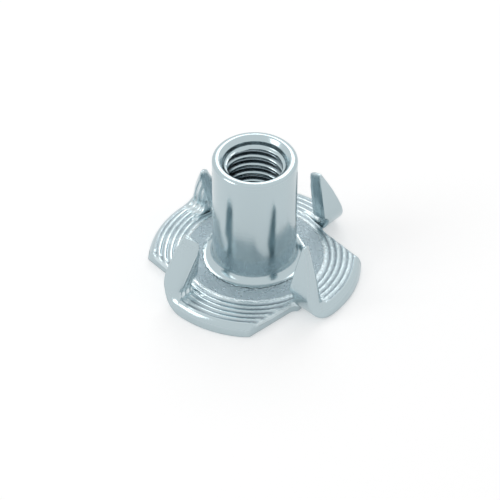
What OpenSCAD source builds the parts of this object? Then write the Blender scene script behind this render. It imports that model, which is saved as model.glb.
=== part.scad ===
// Four-prong tee nut, M6, pressed from one piece of sheet steel.
// The flange lies on z = 0 with the barrel standing up along +Z, and the
// origin is the centre of the flange's underside. The flange and the prongs
// are one round blank: four slits run in from its rim, and the flap beside
// each slit is folded up into a prong. Each prong is drawn in its own turned
// frame, where x runs along the fold line and y across it.

/* [Barrel] */
// Overall height, from the flange's underside to the lip
height = 13; // [9:0.5:18]
// Outside diameter of the barrel
barrel_d = 7.8; // [7.2:0.1:9]
// Radius of the outer edge of the lip
lip_round_r = 0.45; // [0.2:0.05:0.6]
// Fillet between the barrel and the flange
foot_fillet_r = 0.8; // [0.3:0.1:1.2]

/* [Bore] */
// Bore at the crests of the M6 thread
bore_d = 5.0; // [4.6:0.05:5.2]
// Diameter of the countersink at the lip
countersink_d = 6.7; // [5.8:0.1:6.8]
// Depth of the countersink's 45 degree cone
countersink_depth = 0.55; // [0.3:0.05:0.7]
// Depth of the steeper lead-in below the cone
lead_in_depth = 0.6; // [0.3:0.1:1]
// Radius of the drawn entry on the underside
entry_r = 1.5; // [0.8:0.1:1.8]

/* [Flange] */
// Diameter of the round blank
flange_d = 19.9; // [18.5:0.1:22]
// Sheet thickness
sheet_t = 1.4; // [1:0.1:1.6]
// Rounding of the rim's upper edge
rim_roll_r = 0.45; // [0.1:0.05:0.6]
// Rounding of the rim's lower edge
rim_under_r = 0.15; // [0.05:0.05:0.3]

/* [Ridges] */
// Grooves between the ridges on the upper face
groove_count = 5; // [1:1:5]
// From one groove to the next
groove_pitch = 0.545; // [0.45:0.005:0.6]
// Depth of the grooves
groove_depth = 0.06; // [0.03:0.01:0.1]
// From the rim to the outermost groove
groove_inset = 0.77; // [0.7:0.01:0.9]

/* [Prongs] */
// Direction of the first prong's fold line
prong_turn = -42.5; // [-90:0.5:90]
// Angle that each flap is folded through, counterclockwise from the first
fold_angles = [100, 102, 106, 103]; // [92:1:108]
// Inside radius of the fold
fold_inside_r = 0.35; // [0.2:0.05:0.8]
// Distance from the axis to the line where the flange starts to bend
fold_line_y = 1.27; // [1:0.01:1.8]
// Radius that draws the fold's outer corner in from the rim
fold_corner_r = 4.5; // [3.5:0.1:6]
// From the rim's radius to the foot of the prong's outer edge
prong_outer_inset = 0.55; // [0.25:0.05:0.95]
// Width of the prong, between the two edges drawn down to the fold's axis
prong_width = 2.82; // [2.4:0.02:3.2]
// Slope of the prong's inner edge, away from the axis
prong_inner_slope = 4; // [0:0.5:6]
// Slope of the outer edge at its foot, toward the axis
prong_outer_slope = 15; // [8:0.5:16]
// Radius of the outer edge
prong_edge_r = 30; // [20:1:40]
// Radius of the prong's tip
tip_r = 0.25; // [0.2:0.01:0.6]

/* [Slits] */
// Slope of the slit's edge on the flange
slit_slope = 6.4; // [2:0.2:9]
// Radius of the slit's rounded end
slit_end_r = 0.8; // [0.6:0.05:1]
// From the prong's inner edge to the centre of the slit's end, along the fold
slit_end_offset = 1.12; // [0.92:0.05:1.32]
// Distance from the fold line to the centre of the slit's end
slit_end_y = 1.5; // [1.2:0.05:1.8]
// From the prong's inner edge to the inner end of the fold
fold_inner_offset = 0.72; // [0.52:0.05:0.92]
// Radius of the corner between the fold and the prong's inner edge
root_r = 0.8; // [0.4:0.05:0.9]

/* [Hidden] */
$fn = 96;
// Longer than anything here
far = 30;

barrel_r = barrel_d / 2;
bore_r = bore_d / 2;
flange_r = flange_d / 2;
countersink_r = countersink_d / 2;
cone_foot_r = countersink_r - countersink_depth;
prong_count = len(fold_angles);
// Distances along the fold line
prong_outer_x = flange_r - prong_outer_inset;
prong_inner_x = prong_outer_x - prong_width;
slit_end_x = prong_inner_x + slit_end_offset;
fold_inner_x = prong_inner_x + fold_inner_offset;
fold_outside_r = fold_inside_r + sheet_t;

// The outer edge's arc: its centre in the blade's plane
edge_cx = prong_outer_x - prong_edge_r * cos(prong_outer_slope);
edge_cv = -prong_edge_r * sin(prong_outer_slope);
// The tip's circle touches the inner edge's line and the outer edge's arc
tip_foot = (prong_inner_x - edge_cx) * cos(prong_inner_slope)
    + edge_cv * sin(prong_inner_slope) + tip_r;
tip_rise = sqrt(pow(prong_edge_r - tip_r, 2) - pow(tip_foot, 2));
tip_x = edge_cx + tip_foot * cos(prong_inner_slope) + tip_rise * sin(prong_inner_slope);
tip_v = edge_cv - tip_foot * sin(prong_inner_slope) + tip_rise * cos(prong_inner_slope);

// The fold's outer corner leaves the rim smoothly at the fold line
rim_slope = asin(fold_line_y / flange_r);
corner_cx = (flange_r - fold_corner_r) * cos(rim_slope);
corner_cy = -(flange_r - fold_corner_r) * sin(rim_slope);

// Half profile of the barrel and the flange, right of the axis
module wall_profile() {
    difference() {
        union() {
            square([flange_r, sheet_t]);
            square([barrel_r, height]);
            translate([0, sheet_t]) square([barrel_r + foot_fillet_r, foot_fillet_r]);
        }
        translate([barrel_r + foot_fillet_r, sheet_t + foot_fillet_r]) circle(foot_fillet_r);
        corner_off([barrel_r, height], lip_round_r, [1, 1]);
        corner_off([flange_r, sheet_t], rim_roll_r, [1, 1]);
        corner_off([flange_r, 0], rim_under_r, [1, -1]);
        translate([flange_r, sheet_t]) groove_profile();
        bore_profile();
    }
}

// What rounds a profile's outer corner at p to the radius r
module corner_off(p, r, side) {
    translate(p) difference() {
        translate([side[0] > 0 ? -r : -1, side[1] > 0 ? -r : -1]) square(r + 1);
        translate([-side[0] * r, -side[1] * r]) circle(r);
    }
}

// The grooves' V shapes, inward from an edge at the origin
module groove_profile() {
    for (i = [0 : groove_count - 1]) translate([-groove_inset - i * groove_pitch, 0]) {
        polygon(groove_depth * [[-2, 0], [0, -1], [2, 0], [0, 1]]);
    }
}

// Half profile of the bore: drawn entry, thread crests, lead-in, countersink
module bore_profile() {
    lead_z = height - countersink_depth - lead_in_depth;
    translate([0, -1]) square([bore_r, height + 2]);
    difference() {
        translate([0, -1]) square([bore_r + entry_r, 1 + entry_r]);
        translate([bore_r + entry_r, entry_r]) circle(entry_r);
    }
    polygon([
        [0, lead_z],
        [bore_r, lead_z],
        [cone_foot_r, height - countersink_depth],
        [countersink_r, height],
        [countersink_r, height + 1],
        [0, height + 1]
    ]);
}

// What one slit and its fold take out of the flange, in the prong's frame
module slit_area() {
    end_y = -fold_line_y - slit_end_y;
    // The slit's edge touches its rounded end
    touch_x = slit_end_x - slit_end_r * cos(slit_slope);
    touch_y = end_y + slit_end_r * sin(slit_slope);
    translate([slit_end_x, end_y]) circle(slit_end_r);
    polygon([
        [touch_x, touch_y],
        [fold_inner_x, touch_y],
        [fold_inner_x, -fold_line_y],
        [far, -fold_line_y],
        [far, -far],
        [touch_x - (far + touch_y) * tan(slit_slope), -far]
    ]);
}

// Puts a shape drawn at the fold's axis in place; it leans with the blade
module at_fold(lean) {
    translate([0, -fold_line_y, fold_outside_r]) rotate([-lean, 0, 0]) children();
}

// Section across the fold, as one piece: the bend and the blade. The fold's
// axis is the origin, and the blade stands along y
module fold_section(lean) {
    difference() {
        union() {
            circle(fold_outside_r);
            translate([-fold_outside_r, 0]) square([fold_outside_r, prong_edge_r]);
        }
        circle(fold_inside_r);
        translate([-fold_inside_r, 0]) square(far);
        // The flange's side of the fold
        rotate(lean) translate([0, -far]) square([far, far]);
    }
}

// Outline of a prong in its own plane: x along the fold, y up the blade
module prong_outline() {
    slope = prong_inner_slope;
    difference() {
        translate([edge_cx, edge_cv]) circle(prong_edge_r, $fn = 240);
        // Everything inside of the prong's inner edge
        polygon([
            [prong_inner_x - far * tan(slope), -far],
            [prong_inner_x + far * tan(slope), far],
            [-far, far],
            [-far, -far]
        ]);
        // The fold's inner end, with a round corner up to the inner edge
        translate([fold_inner_x - far, -far]) square([far, far]);
        translate([fold_inner_x - root_r, 0]) circle(root_r);
        // The corner beyond the tip's circle
        difference() {
            translate([tip_x - far, tip_v]) square([2 * far, far]);
            tip_keep();
        }
    }
}

// The tip's circle and what lies below its two touching points
module tip_keep() {
    arc_dir = [tip_x - edge_cx, tip_v - edge_cv] / (prong_edge_r - tip_r);
    translate([tip_x, tip_v]) {
        circle(tip_r);
        polygon([
            [0, 0],
            tip_r * [-cos(prong_inner_slope), sin(prong_inner_slope)],
            [-far, 0],
            [0, -far],
            [far, 0],
            tip_r * arc_dir
        ]);
    }
}

// One prong with its bend
module prong(lean) {
    difference() {
        intersection() {
            at_fold(lean) rotate([90, 0, 90]) linear_extrude(far) fold_section(lean);
            at_fold(lean) rotate([90, 0, 0]) {
                linear_extrude(2 * far, center = true) prong_outline();
            }
            translate([corner_cx, corner_cy, 0]) cylinder(r = fold_corner_r, h = far);
        }
        // The grooves follow the outer edge, and end at the bend
        at_fold(lean) intersection() {
            translate([edge_cx, -fold_inside_r, edge_cv]) rotate([-90, 0, 0]) {
                rotate_extrude($fn = 240) translate([prong_edge_r, 0]) groove_profile();
            }
            translate([0, -far, 0]) cube([far, 2 * far, far]);
        }
    }
}

module at_prong(i) {
    rotate(prong_turn + i * 360 / prong_count) children();
}

module tee_nut() {
    color("lightsteelblue") {
        difference() {
            rotate_extrude() wall_profile();
            for (i = [0 : prong_count - 1]) {
                at_prong(i) translate([0, 0, -1]) linear_extrude(sheet_t + 2) slit_area();
            }
        }
        for (i = [0 : prong_count - 1]) at_prong(i) prong(fold_angles[i] - 90);
    }
}

tee_nut();
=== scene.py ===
"""Pronged tee nut: the finished look of the pressed and threaded part, and its stage."""

import math

import bmesh
import bpy
import numpy as np
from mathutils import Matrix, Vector, geometry


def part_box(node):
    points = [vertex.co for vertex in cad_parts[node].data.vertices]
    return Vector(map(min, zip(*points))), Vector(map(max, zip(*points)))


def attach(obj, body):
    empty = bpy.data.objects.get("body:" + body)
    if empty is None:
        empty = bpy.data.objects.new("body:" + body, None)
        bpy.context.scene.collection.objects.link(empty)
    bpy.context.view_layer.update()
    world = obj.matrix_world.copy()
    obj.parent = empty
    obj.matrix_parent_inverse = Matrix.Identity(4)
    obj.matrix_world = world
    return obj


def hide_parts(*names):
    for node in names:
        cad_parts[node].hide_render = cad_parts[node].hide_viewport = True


bl_info = {
    "name": "Pronged tee nut",
    "version": (1, 0, 0),
    "blender": (4, 5, 0),
    "location": "View3D > Sidebar > Tee nut",
    "description": "Makes a pronged tee nut with a rolled rim, folded prongs and a thread",
    "category": "Add Mesh",
}

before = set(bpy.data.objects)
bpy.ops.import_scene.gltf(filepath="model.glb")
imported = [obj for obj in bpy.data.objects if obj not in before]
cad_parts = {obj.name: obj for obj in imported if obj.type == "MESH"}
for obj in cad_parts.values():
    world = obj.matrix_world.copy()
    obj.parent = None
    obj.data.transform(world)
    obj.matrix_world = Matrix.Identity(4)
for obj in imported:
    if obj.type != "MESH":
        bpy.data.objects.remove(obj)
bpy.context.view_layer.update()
CAD_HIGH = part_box("tee_nut")[1]
MM = 0.001
COLUMNS = 240
FULL_TURN = 2 * math.pi


# Sizes and colours that a user would change


def length(name, value, description):
    """A length in millimetres, kept as metres."""
    return bpy.props.FloatProperty(
        name=name, description=description, default=value * MM, min=0.0, unit="LENGTH", precision=5
    )


def angle(name, degrees, description):
    return bpy.props.FloatProperty(
        name=name, description=description, default=math.radians(degrees), subtype="ANGLE"
    )


def colour(name, value, description):
    return bpy.props.FloatVectorProperty(
        name=name, description=description, default=value, size=3, min=0.0, max=1.0, subtype="COLOR"
    )


class TeeNutSizes(bpy.types.PropertyGroup):
    """Sizes of the tee nut."""

    flange_d: length("Flange diameter", 19.9, "Across the rolled rim")
    height: length("Height", CAD_HIGH[2] / MM, "From the underside to the lip")
    sheet_t: length("Sheet", 1.4, "Thickness of the flange")
    barrel_d: length("Barrel diameter", 7.8, "Outside of the barrel")
    bore_d: length("Bore diameter", 5.0, "Across the crests of the thread")
    thread_pitch: length("Thread pitch", 1.0, "From one crest to the next")
    thread_depth: length("Thread depth", 0.52, "From a crest down to the root")
    rim_roll_r: length("Rim roll", 0.85, "How far the rim is rolled over on the upper face")
    groove_count: bpy.props.IntProperty(
        name="Grooves", description="Grooves between the ridges", default=5, min=1, max=6
    )
    groove_pitch: length("Groove pitch", 0.545, "From one groove to the next")
    groove_depth: length("Groove depth", 0.09, "From a ridge down to the groove beside it")
    groove_inset: length("First groove", 0.77, "From the rim to the outermost groove")
    prong_turn: angle("First prong", -42.5, "Where the first prong's fold points")
    fold_angles: bpy.props.FloatVectorProperty(
        name="Fold angles",
        description="How far each prong is folded up from the flange",
        default=tuple(math.radians(a) for a in (100, 102, 106, 103)),
        size=4,
        subtype="EULER",
    )


class TeeNutFinish(bpy.types.PropertyGroup):
    """Colours and strengths of the plating, with a painted highlight for the ridges' crests and
    painted shade for the grooves and the thread's valleys.
    """

    plating: colour("Plating", (0.47, 0.56, 0.59), "Bright zinc")
    frosted: colour("Frosted plating", (0.45, 0.55, 0.60), "Zinc where the press left it grainy")
    # Painted highlight: a lighter colour for the ridges' crests
    crest_painted_highlight: colour("Crest painted highlight", (0.62, 0.71, 0.74), "Zinc on the crest of a ridge")
    # Painted shade: the colour towards which the grooves and the thread's valleys are darkened
    groove: colour("Groove", (0.22, 0.27, 0.30), "Zinc at the bottom of a groove")
    grain_size: length("Grain", 0.12, "Size of the grain in the frosted band")
    roughness: bpy.props.FloatProperty(
        name="Roughness", description="Of the bright plating", default=0.12, min=0.0, max=1.0
    )


class TeeNutStage(bpy.types.PropertyGroup):
    """Floor, light and camera."""

    floor: colour("Floor", (0.86, 0.86, 0.86), "Plain pale floor")
    elevation: angle("Camera elevation", 41.82, "Above the horizon")
    distance: length("Camera distance", 262.7, "From the middle of the nut")
    roll: angle("Camera roll", 0.19, "About the line of sight")
    lens: bpy.props.FloatProperty(
        name="Lens", description="Focal length in millimetres", default=205.8, min=1.0
    )


# Fold and prong, in millimetres. A prong's own frame has x outward along its
# fold and y towards the segment that it is folded up from

FOLD_LINE_Y = 1.27
FOLD_INSIDE_R = 0.35
FOLD_OUTSIDE_R = 2.7
FOLD_INNER_X = 7.3
JOIN_Y = 0.05
SLIT_END = (7.7, -2.77)
SLIT_END_R = 0.8
SLIT_SLOPE = math.radians(6.4)
PRONG_OUTER_X = 9.4
PRONG_OUTER_SLOPE = math.radians(15)
PRONG_EDGE_R = 30.0
PRONG_CENTRE_X = PRONG_OUTER_X - PRONG_EDGE_R * math.cos(PRONG_OUTER_SLOPE)
PRONG_CENTRE_V = -PRONG_EDGE_R * math.sin(PRONG_OUTER_SLOPE)
PRONG_INNER_X = 6.58
PRONG_INNER_SLOPE = math.radians(4)
TIP_R = 0.25
ROOT_R = 0.8
PLATE_INNER_R = 4.7
CUT_ROLL = 0.5
UNDER_R = 0.15
RIM_FALL = 0.79
CUT_FALL = 0.55
THREAD_START = 0.8
LEDGE_R = 2.55
LEDGE_FALL = 0.99
LEDGE_FLARE = 0.08
ROW_GAP = 0.03
TIP_ROLL = 0.5
BLADE_LENGTH = 5.6
# The prongs as the press left them: how far the upper face stands towards the
# segment at the fold and at the tip, how far the lower face does at the tip, the
# fold's inside radius, the blade's stretch and the roll of the lower face's tip
PRONG_SHAPES = (
    (1.0, 0.3, 0.9, 0.35, 0.98, 0.12),
    (0.25, 0.2, 0.0, 0.35, 1.0, 0.35),
    (0.6, 0.3, 0.5, 0.8, 0.87, 0.4),
    (0.65, 0.3, -0.4, 0.35, 0.98, 0.5),
)
# Lengths along the developed fold: flat, first of the bend, bend, last of it
FLAT_Q = 0.1
LEAD_Q = 1.17
BEND_Q = 1.2
BLADE_Q = FLAT_Q + LEAD_Q + BEND_Q
# How deep a cut edge's roll is for its width, and how far a ridge starts from a cut
CUT_ROLL_SHARE = 0.87
RIDGE_START = (0.02, 0.16)
EDGE_STEPS = [0.0, 0.008, 0.03, 0.07, 0.13, 0.2, 0.28, 0.36, 0.43]
INSET_STEPS = [0.015, 0.05, 0.1, 0.16, 0.23, 0.3, 0.38]


def smooth_step(low, high, value):
    t = np.clip((value - low) / (high - low), 0, 1)
    return t * t * (3 - 2 * t)


def roll_drop(distance, width, depth):
    """How far a face falls away at a distance from an edge that is rolled over."""
    t = np.clip(1 - distance / np.maximum(width, 1e-4), 0, 1)
    return depth * (1 - np.sqrt(1 - t * t))


def arc(centre, radius, start, end, steps):
    turns = np.linspace(start, end, steps + 1)
    return np.column_stack([centre[0] + radius * np.cos(turns), centre[1] + radius * np.sin(turns)])


def line(start, end, spacing):
    start, end = np.array(start, float), np.array(end, float)
    steps = max(1, int(round(np.linalg.norm(end - start) / spacing)))
    return start + np.linspace(0, 1, steps + 1)[:, None] * (end - start)


def edge_distance(points, path, *values):
    """Distance of each point to an open path, then each value of the path there."""
    starts, ends = path[:-1], path[1:]
    along = ends - starts
    size = np.maximum((along**2).sum(1), 1e-12)
    best = np.full(len(points), 1e9)
    found = np.zeros((len(values), len(points)))
    for k in range(len(starts)):
        t = np.clip(((points - starts[k]) @ along[k]) / size[k], 0, 1)
        d = np.linalg.norm(points - starts[k] - t[:, None] * along[k], axis=1)
        closer = d < best
        best[closer] = d[closer]
        for n, value in enumerate(values):
            found[n, closer] = (value[k] + t * (value[k + 1] - value[k]))[closer]
    return (best, *found) if values else best


def left_of(path):
    """Directions to the left of a path, of length one."""
    ahead = np.gradient(path, axis=0)
    left = np.column_stack([-ahead[:, 1], ahead[:, 0]])
    return left / np.linalg.norm(left, axis=1)[:, None]


def inset_points(path, closed_loop, steps):
    """Points beside a path, on its left, that stand clear of the rest of the loop."""
    left = left_of(path)
    rows = []
    for step in steps:
        row = path + step * left
        clear = edge_distance(row, closed_loop)
        rows.append(row[clear > step * 0.985])
    return np.concatenate(rows)


def inside(points, loop):
    """Even-odd test of points against a closed loop."""
    x, y = points[:, 0], points[:, 1]
    result = np.zeros(len(points), bool)
    for (x0, y0), (x1, y1) in zip(loop, np.roll(loop, -1, axis=0)):
        if y0 == y1:
            continue
        crosses = (y0 > y) != (y1 > y)
        result ^= crosses & (x < (x1 - x0) * (y - y0) / (y1 - y0) + x0)
    return result


def thin_out(fixed, candidates, gap):
    """Candidates no nearer than the gap to a fixed point or to one another."""
    taken = {}

    def near(p):
        cx, cy = int(p[0] // gap), int(p[1] // gap)
        for ix in (cx - 1, cx, cx + 1):
            for iy in (cy - 1, cy, cy + 1):
                for other in taken.get((ix, iy), ()):
                    if (p[0] - other[0]) ** 2 + (p[1] - other[1]) ** 2 < gap * gap:
                        return True
        return False

    def take(p):
        taken.setdefault((int(p[0] // gap), int(p[1] // gap)), []).append(p)

    for p in fixed:
        take(p)
    kept = []
    for p in candidates:
        if not near(p):
            take(p)
            kept.append(p)
    return np.array(kept)


def fill(loop, inner):
    """Triangles over a closed loop and the points inside of it."""
    points = np.concatenate([loop, inner])
    count = len(loop)
    outline = [list(range(count))]
    found = geometry.delaunay_2d_cdt([Vector(p) for p in points], [], outline, 0, 1e-7, True)
    origin = [ids[0] if ids else None for ids in found[3]]
    if None in origin or len(origin) != len(points):
        raise RuntimeError("the outline crosses itself")
    covered = [face for face, source in zip(found[2], found[5]) if source]
    triangles = np.array([[origin[v] for v in face] for face in covered])
    return points, triangles


class Shell:
    """Vertices and faces of one closed shell, with a value for each vertex's place."""

    LAYERS = ("ridge_at", "ridge_on", "thread_on", "cut_edge", "seam", "groove_shade")

    def __init__(self):
        self.points, self.faces, self.values, self.count = [], [], [], 0

    def add(self, points, **layers):
        """Adds vertices and gives back their numbers."""
        values = np.zeros((len(points), len(self.LAYERS)))
        for name, value in layers.items():
            values[:, self.LAYERS.index(name)] = value
        self.points.append(np.asarray(points, float))
        self.values.append(values)
        first = self.count
        self.count += len(points)
        return np.arange(first, self.count)

    def add_faces(self, faces):
        self.faces.extend(tuple(int(v) for v in face) for face in faces)

    def add_grid(self, rows, closed=False):
        """Faces between rows of vertex numbers."""
        for low, high in zip(rows[:-1], rows[1:]):
            span = len(low) if closed else len(low) - 1
            for k in range(span):
                n = (k + 1) % len(low)
                self.faces.append((int(low[k]), int(low[n]), int(high[n]), int(high[k])))

    def mesh(self, name):
        """The shell as one mesh, welded at its seams, with its faces outwards."""
        points = np.concatenate(self.points) * MM
        values = np.concatenate(self.values)
        mesh = bpy.data.meshes.new(name)
        mesh.from_pydata(points.tolist(), [], self.faces)
        for k, layer in enumerate(self.LAYERS):
            data = mesh.attributes.new(layer, "FLOAT", "POINT").data
            data.foreach_set("value", values[:, k].astype(np.float32))
        bm = bmesh.new()
        bm.from_mesh(mesh)
        seam = bm.verts.layers.float["seam"]
        bmesh.ops.remove_doubles(bm, verts=[v for v in bm.verts if v[seam] > 0.5], dist=0.0002 * MM)
        bmesh.ops.recalc_face_normals(bm, faces=bm.faces)
        if bm.calc_volume(signed=True) < 0:
            bmesh.ops.reverse_faces(bm, faces=bm.faces)
        open_edges = sum(1 for e in bm.edges if len(e.link_faces) != 2)
        print("tee nut shell: open edges", open_edges, "faces", len(bm.faces))
        bm.to_mesh(mesh)
        bm.free()
        return mesh


def to_world(x, y, z, turn):
    c, s = math.cos(turn), math.sin(turn)
    return np.column_stack([c * x - s * y, s * x + c * y, z])


def add_sheet(shell, triangles, top, bottom, free, layers):
    """Both faces of a piece of sheet and the walls along its free edges.

    free holds runs of loop vertices. The loop's vertices come first in top and bottom."""
    upper = shell.add(top, **layers)
    lower = shell.add(bottom, seam=layers["seam"])
    shell.add_faces(upper[triangles])
    shell.add_faces(lower[triangles[:, ::-1]])
    for run in free:
        rows = [lower[run]]
        for share in (0.33, 0.67):
            between = bottom[run] * (1 - share) + top[run] * share
            ends = np.zeros(len(run))
            ends[[0, -1]] = 1
            rows.append(shell.add(between, seam=ends, cut_edge=1.0))
        rows.append(upper[run])
        shell.add_grid(rows)


def sector_plate(shell, size, prong):
    """A quarter of the flange, from one prong's segment to the next."""
    flange_r = size.flange_d / MM / 2
    sheet_t = size.sheet_t / MM
    turn = size.prong_turn + prong * FULL_TURN / 4
    column = FULL_TURN / COLUMNS
    first, last = -50, 10
    ring_d = ridge_steps(size)
    inner_d = np.linspace(ring_d[-1], flange_r - PLATE_INNER_R, 8)[1:]
    rings = flange_r - np.concatenate([ring_d, inner_d])
    slit_x, slit_y = SLIT_END
    touch = (
        slit_x - SLIT_END_R * math.cos(SLIT_SLOPE),
        slit_y + SLIT_END_R * math.sin(SLIT_SLOPE),
    )
    # The straight cut runs from the rim in to the slit's round end
    down = np.array([-math.sin(SLIT_SLOPE), -math.cos(SLIT_SLOPE)])
    b = np.dot(touch, down)
    reach = -b + math.sqrt(b * b - np.dot(touch, touch) + flange_r**2)
    rim_end = np.array(touch) + reach * down
    ray = lambda k: np.array([math.cos(k * column), math.sin(k * column)])
    corner_at = math.atan2(rim_end[1], rim_end[0]) / column
    rim_low = [flange_r * ray(k) for k in range(first, math.ceil(corner_at - 0.15))] + [rim_end]
    top_angle = math.acos((FOLD_INNER_X - slit_x) / SLIT_END_R)
    end_arc = arc(SLIT_END, SLIT_END_R, math.pi - SLIT_SLOPE, top_angle, 10)
    tear = line((FOLD_INNER_X, end_arc[-1][1]), (FOLD_INNER_X, JOIN_Y), 0.12)
    join_r = rings[rings > FOLD_INNER_X + 0.04]
    join = np.array(
        [(FOLD_INNER_X, JOIN_Y)] + [(math.sqrt(r * r - JOIN_Y**2), JOIN_Y) for r in join_r[::-1]]
    )
    start_at = math.asin(JOIN_Y / flange_r) / column
    rim_high = [join[-1]] + [flange_r * ray(k) for k in range(math.ceil(start_at + 0.3), last + 1)]
    runs = [
        ("seam", np.array([r * ray(first) for r in rings[::-1]])),
        ("rim", np.array(rim_low)),
        ("cut", line(rim_end, touch, 0.14)),
        ("cut", end_arc),
        ("cut", tear),
        ("join", join),
        ("rim", np.array(rim_high)),
        ("seam", np.array([r * ray(last) for r in rings])),
        ("seam", np.array([PLATE_INNER_R * ray(k) for k in range(last, first - 1, -1)])),
    ]
    loop, closed, spans = outline_of(runs)
    cut = np.concatenate([runs[2][1], end_arc[1:], tear[1:]])
    cut_weight = 1 - smooth_step(-1.6, -0.3, cut[:, 1])
    cut_weight[: len(runs[2][1])] = 1
    grid = np.array([r * ray(k) for r in rings[1:-1] for k in range(first + 1, last)])
    near_cut = edge_distance(grid, cut)
    near_loop = edge_distance(grid, closed)
    grid = grid[inside(grid, loop) & (near_cut > 0.42) & (near_loop > 0.02)]
    beside = inset_points(cut, closed, INSET_STEPS)
    beside = beside[inside(beside, loop)]
    inner = thin_out(loop, np.concatenate([beside, grid]), 0.035)
    points, triangles = fill(loop, inner)
    x, y = points.T
    radius = np.hypot(x, y)
    rim_gap = flange_r - radius
    cut_gap, weight = edge_distance(points, cut, cut_weight)
    roll = size.rim_roll_r / MM
    seam = np.zeros(len(points))
    for kind, span in spans:
        if kind in ("seam", "join"):
            seam[span] = 1
    drop = np.maximum(
        roll_drop(rim_gap, roll, RIM_FALL * sheet_t),
        roll_drop(cut_gap, CUT_ROLL, CUT_FALL) * weight,
    )
    lift = np.maximum(roll_drop(rim_gap, UNDER_R, UNDER_R), roll_drop(cut_gap, 0.1, 0.08) * weight)
    top = to_world(x, y, sheet_t - drop, turn)
    bottom = to_world(x, y, lift, turn)
    layers = dict(
        ridge_at=rim_gap,
        ridge_on=smooth_step(*RIDGE_START, cut_gap + (1 - weight)),
        seam=seam,
        # The flange's grooves get the full painted shade
        groove_shade=1.0,
        cut_edge=(1 - smooth_step(0.1, 0.45, cut_gap)) * weight,
    )
    free = [span for kind, span in spans if kind == "rim"]
    free.append(joined([span for kind, span in spans if kind == "cut"]))
    add_sheet(shell, triangles, top, bottom, free, layers)
    return join


def outline_of(runs):
    """The runs of an outline as one loop, open and closed, and each run's kind and numbers."""
    loop = np.concatenate([run[:-1] for _, run in runs])
    closed = np.concatenate([loop, loop[:1]])
    spans, at = [], 0
    for kind, run in runs:
        spans.append((kind, np.arange(at, at + len(run)) % len(loop)))
        at += len(run) - 1
    return loop, closed, spans


def joined(spans):
    """Runs that follow one another as one run."""
    whole = list(spans[0])
    for span in spans[1:]:
        whole.extend(span[1:])
    return np.array(whole)


def ridge_steps(size):
    """Distances from the rim: the roll, then eight steps to each ridge."""
    step = size.groove_pitch / MM / 8
    first = size.groove_inset / MM - 2 * step
    ridges = first + step * np.arange(8 * size.groove_count + 1)
    return np.concatenate([EDGE_STEPS, ridges])


def blend(one, other):
    """The larger of the two, rounded off where they are alike."""
    return (one**3 + other**3) ** (1 / 3)


def fold_section(q, lean, sheet_t, shape):
    """Upper and lower face of the folded sheet at developed lengths q: y and z."""
    at_fold, at_tip, low_at_tip, inside_r, stretch = shape[:5]
    q = np.where(q > BLADE_Q, BLADE_Q + (q - BLADE_Q) * stretch, q)
    full = math.pi / 2 + lean
    step = FOLD_OUTSIDE_R - FOLD_INSIDE_R - sheet_t
    lead = step * (1 + math.sin(lean)) / math.cos(lean)
    start_y = lead - FOLD_LINE_Y
    axis_y = inside_r - FOLD_INSIDE_R - FOLD_LINE_Y + at_fold
    up = np.array([math.sin(lean), math.cos(lean)])
    blade = np.maximum(q - BLADE_Q, 0)
    # Blade lengths are true past the fold's end on the lower face
    top = np.empty((len(q), 2))
    flat = q <= FLAT_Q + LEAD_Q
    run = np.where(
        q < FLAT_Q,
        JOIN_Y - (JOIN_Y - start_y) * q / FLAT_Q,
        start_y + (axis_y - start_y) * (q - FLAT_Q) / LEAD_Q,
    )
    top[flat] = np.column_stack([run[flat], np.full(flat.sum(), sheet_t)])
    bend = np.clip((q - FLAT_Q - LEAD_Q) / BEND_Q, 0, 1) * full
    bent = ~flat
    way = np.column_stack([np.sin(bend), np.cos(bend)])
    centre = np.array([axis_y, sheet_t + inside_r])
    top[bent] = (centre - inside_r * way + blade[:, None] * up)[bent]
    top[:, 0] += (at_tip - at_fold) * blade / BLADE_LENGTH
    share = math.asin(lead / FOLD_OUTSIDE_R) / full
    turned = np.interp(
        q,
        [0, FLAT_Q, FLAT_Q + LEAD_Q, BLADE_Q, BLADE_Q + lead],
        [0, 0, share, 1 - share, 1],
    )
    phi = turned * full
    low_way = np.column_stack([-np.sin(phi), -np.cos(phi)])
    low = np.array([start_y, FOLD_OUTSIDE_R]) + FOLD_OUTSIDE_R * low_way
    before = q < FLAT_Q
    low[before] = np.column_stack([run[before], np.zeros(before.sum())])
    beyond = q > BLADE_Q + lead
    low[beyond] += (q - BLADE_Q - lead)[beyond, None] * up
    low[:, 0] += low_at_tip * blade / BLADE_LENGTH
    return top, low, np.linalg.norm(top - low, axis=1)


def prong_edge(q, flange_r):
    """Outer edge of the prong at developed lengths q."""
    v = q - BLADE_Q
    blade = PRONG_CENTRE_X + np.sqrt(PRONG_EDGE_R**2 - (v - PRONG_CENTRE_V) ** 2)
    y = np.clip(JOIN_Y - q, -FOLD_LINE_Y - 0.2, JOIN_Y)
    rim = np.sqrt(flange_r**2 - y * y)
    start = FLAT_Q + LEAD_Q
    t = np.clip((q - start) / BEND_Q, 0, 1)
    x0, x1 = math.sqrt(flange_r**2 - FOLD_LINE_Y**2), PRONG_OUTER_X
    m0, m1 = -FOLD_LINE_Y / x0 * BEND_Q, -math.tan(PRONG_OUTER_SLOPE) * BEND_Q
    between = (
        (2 * t**3 - 3 * t**2 + 1) * x0
        + (t**3 - 2 * t**2 + t) * m0
        + (3 * t**2 - 2 * t**3) * x1
        + (t**3 - t**2) * m1
    )
    return np.where(q < start, rim, np.where(q < BLADE_Q, between, blade))


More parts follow.
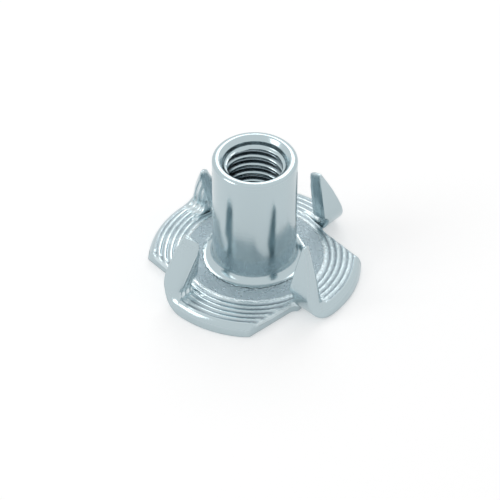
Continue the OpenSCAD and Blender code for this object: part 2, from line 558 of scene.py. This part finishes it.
def prong_sheet(shell, size, prong, join):
    """A prong with its fold, drawn flat and then folded up."""
    flange_r = size.flange_d / MM / 2
    sheet_t = size.sheet_t / MM
    turn = size.prong_turn + prong * FULL_TURN / 4
    lean = size.fold_angles[prong] - math.pi / 2
    # The tip's circle touches the inner edge and the outer arc
    slope = PRONG_INNER_SLOPE
    foot = (PRONG_INNER_X - PRONG_CENTRE_X) * math.cos(slope)
    foot = foot + PRONG_CENTRE_V * math.sin(slope) + TIP_R
    rise = math.sqrt((PRONG_EDGE_R - TIP_R) ** 2 - foot**2)
    tip_x = PRONG_CENTRE_X + foot * math.cos(slope) + rise * math.sin(slope)
    tip_v = PRONG_CENTRE_V - foot * math.sin(slope) + rise * math.cos(slope)
    edge_turn = math.atan2(tip_v - PRONG_CENTRE_V, tip_x - PRONG_CENTRE_X)
    leave_v = tip_v + TIP_R * math.sin(edge_turn)
    steps = [
        line((0, 0), (FLAT_Q, 0), 0.05),
        line((FLAT_Q, 0), (FLAT_Q + LEAD_Q, 0), 0.16)[1:],
        line((FLAT_Q + LEAD_Q, 0), (BLADE_Q, 0), 0.08)[1:],
        line((BLADE_Q, 0), (BLADE_Q + LEAD_Q, 0), 0.14)[1:],
        line((BLADE_Q + LEAD_Q, 0), (BLADE_Q + leave_v, 0), 0.2)[1:],
    ]
    stations = np.concatenate(steps)[:, 0]
    outer = np.column_stack([prong_edge(stations, flange_r), stations])
    outer[0] = (join[-1][0], 0)
    tip = arc((tip_x, tip_v + BLADE_Q), TIP_R, edge_turn, math.pi - slope, 8)
    outer[-1] = tip[0]
    root_turn = math.pi / 2
    for _ in range(20):
        reach = PRONG_INNER_X + ROOT_R * math.sin(root_turn) * math.tan(slope)
        root_turn = math.acos((reach - FOLD_INNER_X + ROOT_R) / ROOT_R)
    root = arc((FOLD_INNER_X - ROOT_R, BLADE_Q), ROOT_R, root_turn, 0, 8)
    runs = [
        ("join", np.column_stack([join[:, 0], np.zeros(len(join))])),
        ("rim", outer),
        ("cut", tip),
        ("cut", line(tip[-1], root[0], 0.15)),
        ("cut", root),
        ("cut", line(root[-1], (FOLD_INNER_X, 0), 0.11)),
    ]
    loop, closed, spans = outline_of(runs)
    cut = np.concatenate([runs[2][1]] + [run[1:] for _, run in runs[3:]])
    tip_q = BLADE_Q + tip_v
    fade = smooth_step(0.3, BLADE_Q - 0.6, cut[:, 1])
    at_tip = smooth_step(tip_q - 1.6, tip_q - 0.1, cut[:, 1])
    upper_roll = fade * (0.3 + (TIP_ROLL - 0.3) * at_tip)
    tip_roll = PRONG_SHAPES[prong][5]
    lower_roll = fade * (0.1 + (tip_roll - 0.1) * at_tip)
    # Rows that follow the outer edge, and go on past the tip so that they end cleanly
    beyond = np.arange(1, 6)[:, None] * (outer[-1] - outer[-2]) + outer[-1]
    edge_path = np.concatenate([outer, beyond])
    left = left_of(outer)
    grid = np.concatenate([(outer + gap * left)[1:-1] for gap in ridge_steps(size)[1:]])
    near_cut = edge_distance(grid, cut)
    near_loop = edge_distance(grid, closed)
    grid = grid[inside(grid, loop) & (near_cut > 0.32) & (near_loop > 0.006)]
    beside = inset_points(cut, closed, INSET_STEPS[:-1])
    beside = beside[inside(beside, loop)]
    inner = thin_out(loop, np.concatenate([beside, grid]), 0.03)
    points, triangles = fill(loop, inner)
    x, q = points.T
    edge_gap = edge_distance(points, edge_path)
    cut_gap, weight, upper, lower = edge_distance(points, cut, fade, upper_roll, lower_roll)
    top, low, thickness = fold_section(q, lean, sheet_t, PRONG_SHAPES[prong])
    thin = np.minimum(thickness / sheet_t, 1)
    roll = size.rim_roll_r / MM
    drop = blend(
        roll_drop(edge_gap, roll, RIM_FALL * thickness),
        roll_drop(cut_gap, upper, CUT_ROLL_SHARE * upper) * thin,
    )
    under = UNDER_R + (tip_roll - UNDER_R) * smooth_step(tip_q - 2.0, tip_q - 0.1, q)
    drop = np.minimum(drop, 0.85 * thickness)
    lift = blend(
        roll_drop(edge_gap, under, under), roll_drop(cut_gap, lower, CUT_ROLL_SHARE * lower)
    )
    lift = lift * thin
    lift = np.minimum(lift, 0.9 * (thickness - drop))
    through = (top - low) / thickness[:, None]
    top = top - drop[:, None] * through
    low = low + lift[:, None] * through
    seam = np.zeros(len(points))
    seam[spans[0][1]] = 1
    layers = dict(
        ridge_at=edge_gap,
        ridge_on=smooth_step(*RIDGE_START, cut_gap + (1 - weight)),
        seam=seam,
        # The prongs' grooves get less painted shade than the flange's
        groove_shade=0.4,
        cut_edge=(1 - smooth_step(0.08, 0.35, cut_gap)) * weight,
    )
    free = [spans[1][1], joined([span for kind, span in spans if kind == "cut"])]
    top = to_world(x, top[:, 0], top[:, 1], turn)
    low = to_world(x, low[:, 0], low[:, 1], turn)
    add_sheet(shell, triangles, top, low, free, layers)


def add_revolved(shell, profile, turns):
    """A band of the barrel, turned about its axis."""
    rows = []
    for k, (radius, z) in enumerate(profile):
        ring = np.column_stack(
            [radius * np.cos(turns), radius * np.sin(turns), np.full(len(turns), z)]
        )
        seam = 1.0 if k in (0, len(profile) - 1) else 0.0
        rows.append(shell.add(ring, seam=seam))
    shell.add_grid(rows, closed=True)


def barrel(shell, size):
    """Fillet, barrel, lip, countersink and bore, with the rows for the thread."""
    sheet_t = size.sheet_t / MM
    height = size.height / MM
    outer_r = size.barrel_d / MM / 2
    bore_r = size.bore_d / MM / 2
    fillet_r = PLATE_INNER_R - outer_r
    turns = size.prong_turn + (np.arange(COLUMNS) - 50) * FULL_TURN / COLUMNS
    # The lip's crest, and the half ellipse that rounds it off outwards
    crest_r = 3.4
    lip_fall = 0.3
    fillet = arc((PLATE_INNER_R, sheet_t + fillet_r), fillet_r, -math.pi / 2, -math.pi, 12)
    straight = line((outer_r, sheet_t + fillet_r), (outer_r, height - lip_fall), 0.9)[1:]
    rounding = arc((0, 0), 1, 0, math.pi / 2, 12)[1:] * (outer_r - crest_r, lip_fall)
    rounding += (crest_r, height - lip_fall)
    # The lip's inner rounding, a 45 degree cone, a steep wall and a ledge
    inner = arc((crest_r, height - 0.31), 0.31, math.pi / 2, 0.75 * math.pi, 8)[1:]
    below = np.array([(2.95, -0.333), (2.9, -0.4), (2.87, -0.5), (2.86, -0.75), (2.83, -0.86)])
    ledge = np.array([(2.76, -0.93), (2.66, -0.96), (LEDGE_R, -LEDGE_FALL)])
    sink = np.concatenate([inner, np.concatenate([below, ledge]) + (0, height)])
    outside = np.concatenate([fillet, straight, rounding, sink])
    add_revolved(shell, outside, turns)
    entry_r = 1.5
    entry = arc((bore_r + entry_r, entry_r), entry_r, math.pi, 1.5 * math.pi, 14)
    bottom = np.concatenate([entry, [(PLATE_INNER_R, 0)]])
    add_revolved(shell, bottom, turns)
    thread_rows(shell, size, turns[0], entry_r, height - LEDGE_FALL)


def thread_rows(shell, size, start, low_z, high_z):
    """The bore's wall, with rows that climb with the thread."""
    pitch = size.thread_pitch / MM
    bore_r = size.bore_d / MM / 2
    half = COLUMNS // 2
    per_turn = 14
    width = FULL_TURN * 2.5
    across = np.linspace(0, width, COLUMNS + 1)
    lowest, highest = low_z + ROW_GAP, high_z - ROW_GAP
    first = math.ceil(lowest / pitch * per_turn)
    last = math.floor(highest / pitch * per_turn)
    seam_z = pitch / per_turn * np.arange(first, last + 1)
    loop = np.concatenate(
        [
            np.column_stack([across, np.full(COLUMNS + 1, low_z)]),
            np.column_stack([np.full(len(seam_z), width), seam_z]),
            np.column_stack([across[::-1], np.full(COLUMNS + 1, high_z)]),
            np.column_stack([np.zeros(len(seam_z)), seam_z[::-1]]),
        ]
    )
    rows = []
    for k in range(1, half):
        share = k / half
        levels = np.arange(-per_turn, int(high_z / pitch * per_turn) + 1) + share * per_turn
        levels = levels * pitch / per_turn
        levels = levels[(levels > lowest) & (levels < highest)]
        rows.append(np.column_stack([np.full(len(levels), share * width), levels]))
    points, triangles = fill(loop, np.concatenate(rows))
    turn = start + points[:, 0] / width * FULL_TURN
    z = points[:, 1]
    flare = np.clip((z - (high_z - LEDGE_FLARE)) / LEDGE_FLARE, 0, 1) * (LEDGE_R - bore_r)
    radius = bore_r + flare
    places = np.column_stack([radius * np.cos(turn), radius * np.sin(turn), z])
    seam = np.zeros(len(points))
    seam[: len(loop)] = 1
    on = smooth_step(low_z + 0.1, low_z + 1.2, z)
    on = on * (1 - smooth_step(high_z - 0.15, high_z - 0.02, z))
    numbers = shell.add(places, seam=seam, thread_on=on)
    shell.add_faces(numbers[triangles])


# Press marks and plating

# Noise scales are turns a metre; depths and radii are in metres
WAVE_SCALE = 420.0
WAVE_DEPTH = 0.000012
PATCH_SCALE = 190.0
PATCH_SHARE = 0.4
PATCH_LIMITS = (0.42, 0.62)
# Millimetres from the rim: where the patches start past the rolled edge and where they end
PATCH_START = (0.5, 0.8)
PATCH_END = 3.5
GRAIN_DEPTH = 0.00014
PLAIN_GRAIN = 0.035
TORN_GRAIN = 0.1
DRAWN_DEPTH = 0.0000018
# A ridge rises over this share of the pitch; its crest gets a painted highlight and its foot gets
# painted shade
RIDGE_RISE = 0.625
RIDGE_MIDDLE = 0.45
CREST_HIGHLIGHT_AT = 0.05
PAINTED_SHADE_SHARE = 0.85
THREAD_FLANK = (0.1, 0.9)
# The thread's valleys get painted shade between these radii, below this height and inside this
# radius
VALLEY_RADII = (0.00254, 0.00275)
THREAD_TOP = 0.012
THREAD_OUTER_R = 0.0032
FROST_ROUGHNESS = 0.12
LINE_ROUGHNESS = 0.08


# Geometry nodes


class NodeMaker:
    """Puts nodes into a tree and joins them."""

    def __init__(self, tree):
        self.tree = tree

    def node(self, kind, inputs=(), **settings):
        node = self.tree.nodes.new(kind)
        for key, value in settings.items():
            setattr(node, key, value)
        for key, value in dict(inputs).items():
            self.feed(node.inputs[key], value)
        return node

    def feed(self, socket, value):
        if isinstance(value, bpy.types.NodeSocket):
            self.tree.links.new(value, socket)
        else:
            socket.default_value = value

    def math(self, operation, *values):
        node = self.tree.nodes.new("ShaderNodeMath")
        node.operation = operation
        for k, value in enumerate(values):
            self.feed(node.inputs[k], value)
        return node.outputs[0]

    def product(self, *values):
        result = values[0]
        for value in values[1:]:
            result = self.math("MULTIPLY", result, value)
        return result

    def from_axis(self, x, y):
        """Distance from the nut's axis."""
        squares = self.math("ADD", self.product(x, x), self.product(y, y))
        return self.math("SQRT", squares)

    def ramp(self, value, low, high, top=1.0, kind="SMOOTHSTEP"):
        """From zero at one limit to the top at the other."""
        limits = {"Value": value, "From Min": low, "From Max": high, "To Max": top}
        return self.node("ShaderNodeMapRange", interpolation_type=kind, inputs=limits).outputs[0]

    def noise(self, vector, scale, **inputs):
        inputs = {"Vector": vector, "Scale": scale, **inputs}
        return self.node("ShaderNodeTexNoise", inputs=inputs).outputs[0]

    def mix(self, share, first, second):
        """A colour between two colours."""
        node = self.node("ShaderNodeMix", data_type="RGBA", inputs={0: share, 6: first, 7: second})
        return node.outputs[2]

    def named(self, name):
        """A value that the mesh carries, in a geometry tree."""
        kind = "GeometryNodeInputNamedAttribute"
        return self.node(kind, data_type="FLOAT", inputs={"Name": name}).outputs["Attribute"]

    def painted(self, name):
        """A value that the mesh carries, in a material."""
        return self.node("ShaderNodeAttribute", attribute_name=name).outputs["Fac"]


def new_geometry_tree(name, sizes):
    """A tree with geometry in and out and named inputs for its sizes and material."""
    tree = bpy.data.node_groups.new(name, "GeometryNodeTree")
    tree.interface.new_socket("Geometry", in_out="INPUT", socket_type="NodeSocketGeometry")
    for label in sizes:
        tree.interface.new_socket(label, in_out="INPUT", socket_type="NodeSocketFloat")
    tree.interface.new_socket("Material", in_out="INPUT", socket_type="NodeSocketMaterial")
    tree.interface.new_socket("Geometry", in_out="OUTPUT", socket_type="NodeSocketGeometry")
    make = NodeMaker(tree)
    return tree, make, tree.nodes.new("NodeGroupInput")


def move_points(make, source, way, distance):
    """The tree's geometry with its points moved along a direction."""
    offset = make.node(
        "ShaderNodeVectorMath", operation="SCALE", inputs={"Vector": way, "Scale": distance}
    )
    inputs = {"Geometry": source.outputs["Geometry"], "Offset": offset.outputs[0]}
    return make.node("GeometryNodeSetPosition", inputs=inputs).outputs[0]


def end_tree(make, source, shape):
    """Realizes the tree's shape and gives it its material."""
    real = make.node("GeometryNodeRealizeInstances", inputs={"Geometry": shape})
    inputs = {"Geometry": real.outputs[0], "Material": source.outputs["Material"]}
    paint = make.node("GeometryNodeSetMaterial", inputs=inputs)
    make.tree.links.new(paint.outputs[0], make.node("NodeGroupOutput").inputs[0])


def ridge_tree():
    """Rings of ridges that the press rolled into the upper face."""
    tree, make, source = new_geometry_tree("Rolled ridges", ("Pitch", "Depth", "First", "Last"))
    at = make.named("ridge_at")
    first, last = source.outputs["First"], source.outputs["Last"]
    pitch = source.outputs["Pitch"]
    phase = make.math("DIVIDE", make.math("SUBTRACT", at, first), pitch)
    # Each ridge rises slowly inwards, then drops to the next groove
    part = make.math("FRACT", phase)
    slow = make.math("SUBTRACT", 1.0, make.math("DIVIDE", part, RIDGE_RISE))
    steep = make.math("DIVIDE", make.math("SUBTRACT", part, RIDGE_RISE), 1 - RIDGE_RISE)
    groove = make.math("MAXIMUM", slow, steep)
    quarter = make.math("MULTIPLY", pitch, 0.25)
    band = make.math(
        "MULTIPLY",
        make.math("GREATER_THAN", at, make.math("SUBTRACT", first, quarter)),
        make.math("LESS_THAN", at, make.math("SUBTRACT", last, quarter)),
    )
    # Some stretches are pressed deeper than others
    place = make.node("GeometryNodeInputPosition").outputs[0]
    uneven = make.product(make.noise(place, WAVE_SCALE, Detail=1.0), 0.5)
    band = make.product(band, make.math("ADD", 0.75, uneven))
    mask = make.product(band, make.named("ridge_on"))
    depth = make.product(groove, source.outputs["Depth"], mask)
    normal = make.node("GeometryNodeInputNormal").outputs[0]
    moved = move_points(make, source, normal, make.product(depth, -1.0))
    # How much the material paints shade into each groove and a highlight onto each crest, kept as
    # the groove value
    dark = make.product(groove, mask, make.named("groove_shade"))
    keep = make.node(
        "GeometryNodeStoreNamedAttribute",
        data_type="FLOAT",
        domain="POINT",
        inputs={"Geometry": moved, "Name": "groove", "Value": dark},
    )
    end_tree(make, source, keep.outputs[0])
    return tree


def thread_tree():
    """The thread, cut outwards from the bore's wall along a helix."""
    tree, make, source = new_geometry_tree("Cut thread", ("Pitch", "Depth", "Bore radius"))
    place = make.node("GeometryNodeInputPosition").outputs[0]
    x, y, z = make.node("ShaderNodeSeparateXYZ", inputs={0: place}).outputs
    turns = make.math("DIVIDE", make.math("ARCTAN2", y, x), FULL_TURN)
    climb = make.math("SUBTRACT", make.math("DIVIDE", z, source.outputs["Pitch"]), turns)
    part = make.math("FRACT", make.math("ADD", climb, THREAD_START))
    saw = make.product(make.math("ABSOLUTE", make.math("SUBTRACT", part, 0.5)), 2.0)
    threaded = make.named("thread_on")
    cut = make.product(make.ramp(saw, *THREAD_FLANK), source.outputs["Depth"], threaded)
    wanted = make.math("ADD", source.outputs["Bore radius"], cut)
    grow = make.math("MAXIMUM", make.math("SUBTRACT", wanted, make.from_axis(x, y)), 0.0)
    grow = make.product(grow, make.math("GREATER_THAN", threaded, 0.0))
    flat = make.node("ShaderNodeCombineXYZ", inputs={0: x, 1: y}).outputs[0]
    way = make.node("ShaderNodeVectorMath", operation="NORMALIZE", inputs={0: flat})
    end_tree(make, source, move_points(make, source, way.outputs[0], grow))
    return tree


def run_tree(piece, tree, values):
    """Gives a piece the tree's result as its own plain mesh."""
    modifier = piece.modifiers.new(tree.name, "NODES")
    modifier.node_group = tree
    for item in tree.interface.items_tree:
        if item.in_out == "INPUT" and item.name in values:
            modifier[item.identifier] = values[item.name]
    bpy.context.view_layer.update()
    evaluated = piece.evaluated_get(bpy.context.evaluated_depsgraph_get())
    result = bpy.data.meshes.new_from_object(evaluated)
    piece.modifiers.remove(modifier)
    old = piece.data
    piece.data = result
    bpy.data.meshes.remove(old)


# Materials


def new_shader_group(name, inputs, outputs):
    """A shader node group with a vector and named values in, and named values out."""
    tree = bpy.data.node_groups.new(name, "ShaderNodeTree")
    tree.interface.new_socket("Vector", in_out="INPUT", socket_type="NodeSocketVector")
    for label, value in inputs:
        socket = tree.interface.new_socket(label, in_out="INPUT", socket_type="NodeSocketFloat")
        socket.default_value = value
    for label in outputs:
        tree.interface.new_socket(label, in_out="OUTPUT", socket_type="NodeSocketFloat")
    make = NodeMaker(tree)
    return tree, make, tree.nodes.new("NodeGroupInput"), tree.nodes.new("NodeGroupOutput")


def grain_group():
    """Pebbled grain of a pressed face, as a height in metres."""
    tree, make, source, sink = new_shader_group(
        "Pressed grain", (("Grain size", 0.00016), ("Depth", 0.00001)), ("Height",)
    )
    vector = source.outputs["Vector"]
    scale = make.math("DIVIDE", 1.0, source.outputs["Grain size"])
    noise = make.noise(vector, scale, Detail=2.0, Roughness=0.6)
    pits = make.node(
        "ShaderNodeTexVoronoi", inputs={"Vector": vector, "Scale": make.product(scale, 0.8)}
    )
    mixed = make.math("ADD", noise, make.product(pits.outputs["Distance"], 0.5))
    tree.links.new(make.product(mixed, source.outputs["Depth"]), sink.inputs["Height"])
    return tree


def band_group():
    """Where the press left the upper face frosted: a ring with uneven edges."""
    tree, make, source, sink = new_shader_group(
        "Frosted band",
        (("Inner radius", 0.00482), ("Outer radius", 0.00652), ("Floor", 0.00125)),
        ("Mask",),
    )
    vector = source.outputs["Vector"]
    x, y, z = make.node("ShaderNodeSeparateXYZ", inputs={0: vector}).outputs
    wander = make.math("SUBTRACT", make.noise(vector, 2200.0), 0.5)
    radius = make.math("ADD", make.from_axis(x, y), make.product(wander, 0.00045))

    def edge(value, limit, soft):
        past = make.math("SUBTRACT", value, source.outputs[limit])
        return make.ramp(past, -soft, soft, kind="LINEAR")

    outside = make.math("SUBTRACT", 1.0, edge(radius, "Outer radius", 0.00012))
    ring = make.product(edge(radius, "Inner radius", 0.00006), outside)
    tree.links.new(make.product(ring, edge(z, "Floor", 0.0001)), sink.inputs["Mask"])
    return tree


def drawn_group():
    """Fine lines along the axis that drawing leaves on a barrel, as a height in metres."""
    tree, make, source, sink = new_shader_group(
        "Drawn lines", (("Depth", 0.000001),), ("Height", "Mask")
    )
    stretch = make.node(
        "ShaderNodeMapping",
        inputs={"Vector": source.outputs["Vector"], "Scale": (1.0, 1.0, 0.06)},
    )
    lines = make.noise(stretch.outputs[0], 1500.0, Detail=2.0, Roughness=0.5)
    tree.links.new(make.product(lines, source.outputs["Depth"]), sink.inputs["Height"])
    tree.links.new(lines, sink.inputs["Mask"])
    return tree


def empty_nodes(owner, output):
    """A material's or a world's nodes, with nothing in them but the output."""
    owner.use_nodes = True
    owner.node_tree.nodes.clear()
    make = NodeMaker(owner.node_tree)
    return make, make.node(output).inputs[0]


def zinc_material(finish):
    """Bright zinc plating, frosted where the press left it grainy, with a painted highlight on the
    ridges' crests and painted shade in the grooves and the thread's valleys.
    """
    material = bpy.data.materials.new("zinc_plated_steel")
    make, surface = empty_nodes(material, "ShaderNodeOutputMaterial")
    place = make.node("ShaderNodeTexCoord").outputs["Object"]
    inward = make.painted("ridge_at")
    ridged = make.ramp(inward, *PATCH_START, kind="LINEAR")
    ridged = make.product(ridged, make.math("LESS_THAN", inward, PATCH_END))
    patches = make.noise(place, PATCH_SCALE, Detail=2.0)
    patchy = make.product(ridged, make.ramp(patches, *PATCH_LIMITS, PATCH_SHARE))
    band = make.node("ShaderNodeGroup", node_tree=band_group(), inputs={"Vector": place})
    frost = make.math("MAXIMUM", band.outputs[0], patchy)
    grain = make.node(
        "ShaderNodeGroup",
        node_tree=grain_group(),
        inputs={"Vector": place, "Grain size": finish.grain_size, "Depth": GRAIN_DEPTH},
    )
    lines = make.node(
        "ShaderNodeGroup", node_tree=drawn_group(), inputs={"Vector": place, "Depth": DRAWN_DEPTH}
    )
    waves = make.product(make.noise(place, WAVE_SCALE, Detail=1.0), WAVE_DEPTH)
    pressed = make.product(grain.outputs["Height"], make.math("ADD", frost, PLAIN_GRAIN))
    torn = make.product(make.painted("cut_edge"), TORN_GRAIN)
    torn = make.product(grain.outputs["Height"], torn)
    height = make.math("ADD", make.math("ADD", pressed, torn), lines.outputs["Height"])
    height = make.math("ADD", height, waves)
    bump = make.node("ShaderNodeBump", inputs={"Height": height, "Strength": 1.0, "Distance": 1.0})
    colour = make.mix(frost, (*finish.plating, 1.0), (*finish.frosted, 1.0))
    # Painted highlight: the ridges' crests are made lighter
    groove = make.painted("groove")
    crest = make.product(make.ramp(groove, RIDGE_MIDDLE, CREST_HIGHLIGHT_AT), ridged)
    colour = make.mix(crest, colour, (*finish.crest_painted_highlight, 1.0))
    # Painted shade: the grooves and the thread's valleys are darkened towards the groove colour;
    # the same radii also darken the bore's entry below the thread
    painted_groove_shade = make.ramp(groove, RIDGE_MIDDLE, 1.0, PAINTED_SHADE_SHARE)
    x, y, z = make.node("ShaderNodeSeparateXYZ", inputs={0: place}).outputs
    radius = make.from_axis(x, y)
    in_thread = make.product(
        make.math("LESS_THAN", z, THREAD_TOP), make.math("LESS_THAN", radius, THREAD_OUTER_R)
    )
    painted_valley_shade = make.product(make.ramp(radius, *VALLEY_RADII, PAINTED_SHADE_SHARE), in_thread)
    colour = make.mix(make.math("MAXIMUM", painted_groove_shade, painted_valley_shade), colour, (*finish.groove, 1.0))
    rough = make.math("ADD", finish.roughness, make.product(frost, FROST_ROUGHNESS))
    rough = make.math("ADD", rough, make.product(lines.outputs["Mask"], LINE_ROUGHNESS))
    shader = make.node(
        "ShaderNodeBsdfPrincipled",
        inputs={
            "Base Color": colour,
            "Metallic": 1.0,
            "Roughness": rough,
            "Normal": bump.outputs[0],
        },
    )
    make.tree.links.new(shader.outputs[0], surface)
    return material


# Operators


class TEENUT_OT_nut(bpy.types.Operator):
    """Makes the tee nut as one closed piece"""

    bl_idname = "tee_nut.make_nut"
    bl_label = "Tee nut"

    def execute(self, context):
        size = context.scene.tee_nut_sizes
        shell = Shell()
        for prong in range(4):
            join = sector_plate(shell, size, prong)
            prong_sheet(shell, size, prong, join)
        barrel(shell, size)
        mesh = shell.mesh("tee_nut_body")
        piece = bpy.data.objects.new("tee_nut_body", mesh)
        context.scene.collection.objects.link(piece)
        zinc = zinc_material(context.scene.tee_nut_finish)
        run_tree(
            piece,
            thread_tree(),
            {
                "Pitch": size.thread_pitch,
                "Depth": size.thread_depth,
                "Bore radius": size.bore_d / 2,
                "Material": zinc,
            },
        )
        run_tree(
            piece,
            ridge_tree(),
            {
                "Pitch": size.groove_pitch / MM,
                "Depth": size.groove_depth,
                "First": size.groove_inset / MM,
                "Last": (size.groove_inset + size.groove_count * size.groove_pitch) / MM,
                "Material": zinc,
            },
        )
        piece.data.name = "tee_nut_body"
        piece.data.shade_smooth()
        piece.data.set_sharp_from_angle(angle=math.radians(50))
        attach(piece, "root")
        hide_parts("tee_nut")
        return {"FINISHED"}


class TEENUT_OT_stage(bpy.types.Operator):
    """Makes the floor, the light and the camera"""

    bl_idname = "tee_nut.make_stage"
    bl_label = "Stage"

    def execute(self, context):
        stage = context.scene.tee_nut_stage
        make_floor(stage)
        make_light(context.scene)
        make_camera(context.scene, stage)
        return {"FINISHED"}


# Stage, in metres and watts

AIM = Vector((0, 0, 0.006))
FLOOR_HALF = 2.0
# What the camera and the metal see of the floor and the sky, beyond their light
FLOOR_GLOW = 0.33
SKY_GLOW = 0.4
SKY_LIGHT = 0.6
# Soft boxes: place, size, power
LAMPS = (
    ("back_softbox", (0.02, 0.30, 0.34), (0.30, 0.22), 0.35),
    ("left_softbox", (-0.34, -0.12, 0.26), (0.18, 0.22), 0.28),
)
# The frame's side, and where the middle of the nut stands in it, in pixels
FRAME_SIDE = 500
NUT_AT = (254.66, 215.98)


def seen_rays(make):
    """One for rays from the camera, metal and glass, and zero for light on the nut."""
    path = make.node("ShaderNodeLightPath")
    seen = make.math("MAXIMUM", path.outputs["Is Camera Ray"], path.outputs["Is Glossy Ray"])
    return make.math("MAXIMUM", seen, path.outputs["Is Transmission Ray"])


def make_floor(stage):
    mesh = bpy.data.meshes.new("floor")
    bm = bmesh.new()
    bmesh.ops.create_grid(bm, x_segments=2, y_segments=2, size=FLOOR_HALF)
    bm.to_mesh(mesh)
    bm.free()
    floor = bpy.data.objects.new("floor", mesh)
    bpy.context.scene.collection.objects.link(floor)
    material = bpy.data.materials.new("floor_white")
    make, surface = empty_nodes(material, "ShaderNodeOutputMaterial")
    diffuse = make.node("ShaderNodeBsdfDiffuse", inputs={"Color": (*stage.floor, 1.0)})
    strength = make.product(seen_rays(make), FLOOR_GLOW)
    glow = make.node("ShaderNodeEmission", inputs={"Strength": strength})
    both = make.node("ShaderNodeAddShader", inputs={0: diffuse.outputs[0], 1: glow.outputs[0]})
    make.tree.links.new(both.outputs[0], surface)
    mesh.materials.append(material)


def make_light(scene):
    scene.world = bpy.data.worlds.new("studio")
    make, surface = empty_nodes(scene.world, "ShaderNodeOutputWorld")
    strength = make.math("ADD", SKY_LIGHT, make.product(seen_rays(make), SKY_GLOW))
    sky = make.node("ShaderNodeBackground", inputs={"Color": (1, 1, 1, 1), "Strength": strength})
    make.tree.links.new(sky.outputs[0], surface)
    for name, place, size, power in LAMPS:
        lamp = bpy.data.lights.new(name, "AREA")
        lamp.shape = "RECTANGLE"
        lamp.size, lamp.size_y = size
        lamp.energy = power
        holder = bpy.data.objects.new(name, lamp)
        scene.collection.objects.link(holder)
        holder.location = place
        holder.rotation_euler = (AIM - Vector(place)).to_track_quat("-Z", "Y").to_euler()


def make_camera(scene, stage):
    camera = bpy.data.cameras.new("camera")
    camera.sensor_width = 36
    camera.lens = stage.lens
    camera.clip_start = 0.01
    holder = bpy.data.objects.new("camera", camera)
    scene.collection.objects.link(holder)
    e = stage.elevation
    holder.location = AIM + stage.distance * Vector((0, -math.cos(e), math.sin(e)))
    holder.rotation_euler = (math.pi / 2 - e, 0, 0)
    holder.rotation_euler.rotate_axis("Z", stage.roll)
    # The nut's middle stands a little right of and above the frame's middle
    camera.shift_x = (FRAME_SIDE / 2 - NUT_AT[0]) / FRAME_SIDE
    camera.shift_y = (NUT_AT[1] - FRAME_SIDE / 2) / FRAME_SIDE
    camera.dof.use_dof = False
    scene.camera = holder


class TEENUT_PT_panel(bpy.types.Panel):
    """Lists what makes the tee nut and its stage"""

    bl_label = "Tee nut"
    bl_idname = "TEENUT_PT_panel"
    bl_space_type = "VIEW_3D"
    bl_region_type = "UI"
    bl_category = "Tee nut"

    def draw(self, context):
        layout = self.layout
        for operator in OPERATORS:
            layout.operator(operator.bl_idname)
        for group in GROUPS:
            settings = getattr(context.scene, group)
            box = layout.box()
            for key in settings.__annotations__:
                box.prop(settings, key)


OPERATORS = (TEENUT_OT_nut, TEENUT_OT_stage)
GROUPS = {
    "tee_nut_sizes": TeeNutSizes,
    "tee_nut_finish": TeeNutFinish,
    "tee_nut_stage": TeeNutStage,
}


def register():
    for group in GROUPS.values():
        bpy.utils.register_class(group)
    for name, group in GROUPS.items():
        setattr(bpy.types.Scene, name, bpy.props.PointerProperty(type=group))
    for operator in OPERATORS:
        bpy.utils.register_class(operator)
    bpy.utils.register_class(TEENUT_PT_panel)


def unregister():
    bpy.utils.unregister_class(TEENUT_PT_panel)
    for operator in reversed(OPERATORS):
        bpy.utils.unregister_class(operator)
    for name, group in GROUPS.items():
        delattr(bpy.types.Scene, name)
        bpy.utils.unregister_class(group)


def main():
    register()
    bpy.ops.tee_nut.make_nut()
    bpy.ops.tee_nut.make_stage()
    bpy.context.scene.view_settings.view_transform = "Standard"


if __name__ == "__main__":
    main()
